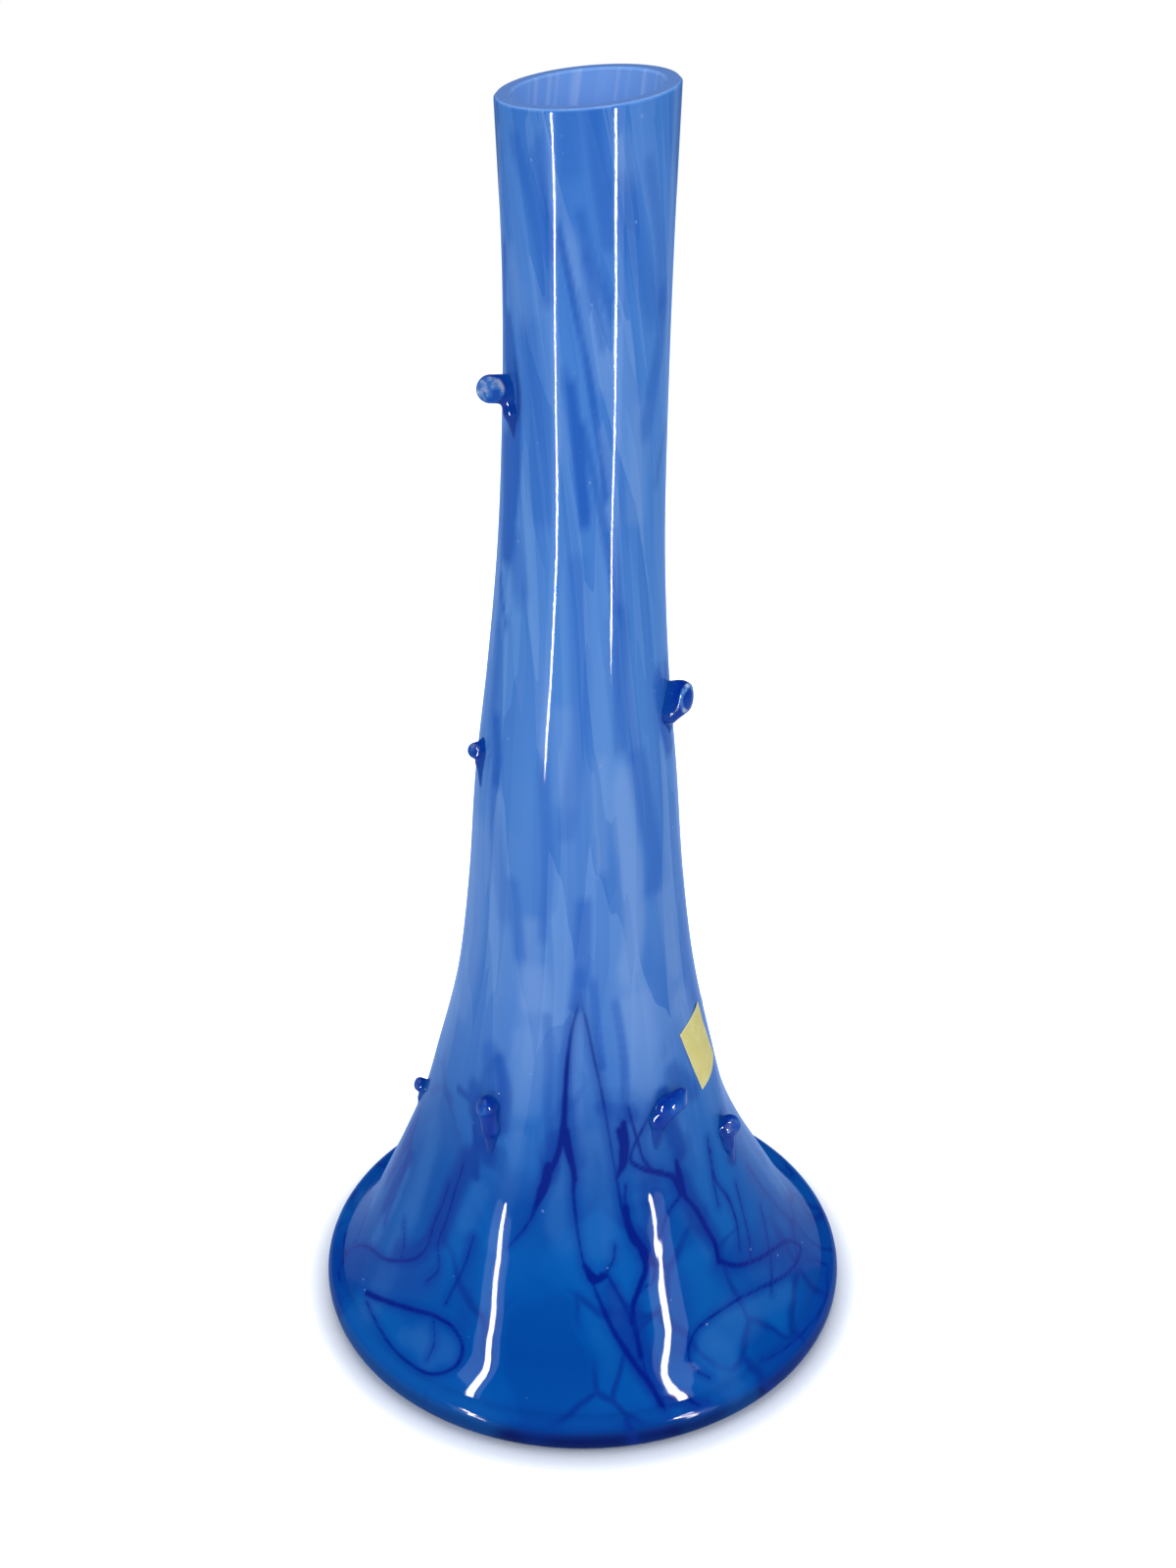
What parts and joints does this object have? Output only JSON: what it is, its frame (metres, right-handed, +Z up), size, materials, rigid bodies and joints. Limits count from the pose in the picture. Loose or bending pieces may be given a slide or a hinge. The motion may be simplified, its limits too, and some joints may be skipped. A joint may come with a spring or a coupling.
{
  "type": "glass vase",
  "caption": "Tall hand-blown glass vase shaped like a tree trunk, with a flared thick foot, a narrow open neck cut at a slant and pulled glass knobs on the wall.",
  "frame": {"origin": "middle of the round foot, on the surface that the vase stands on", "axes": "+Z up the trunk, -Y towards the pictured front, +X to the right seen from the front"},
  "size_m": [0.15, 0.15, 0.3359],
  "materials": {
    "mottled_glass": "gloss",
    "cobalt_glass": "gloss",
    "label_paper": "satin"
  },
  "bodies": {
    "root": {"vase_body": "mottled_glass", "neck_hook_left": "cobalt_glass", "trunk_stub_right": "cobalt_glass", "trunk_bud_left": "cobalt_glass", "foot_thorn_back_left": "cobalt_glass", "foot_curl_front_left": "cobalt_glass", "foot_curl_front_right": "cobalt_glass", "foot_bud_right": "cobalt_glass", "foot_bud_back_right": "cobalt_glass", "foot_bud_back_left": "cobalt_glass", "paper_label": "label_paper"}
  },
  "joints": []
}
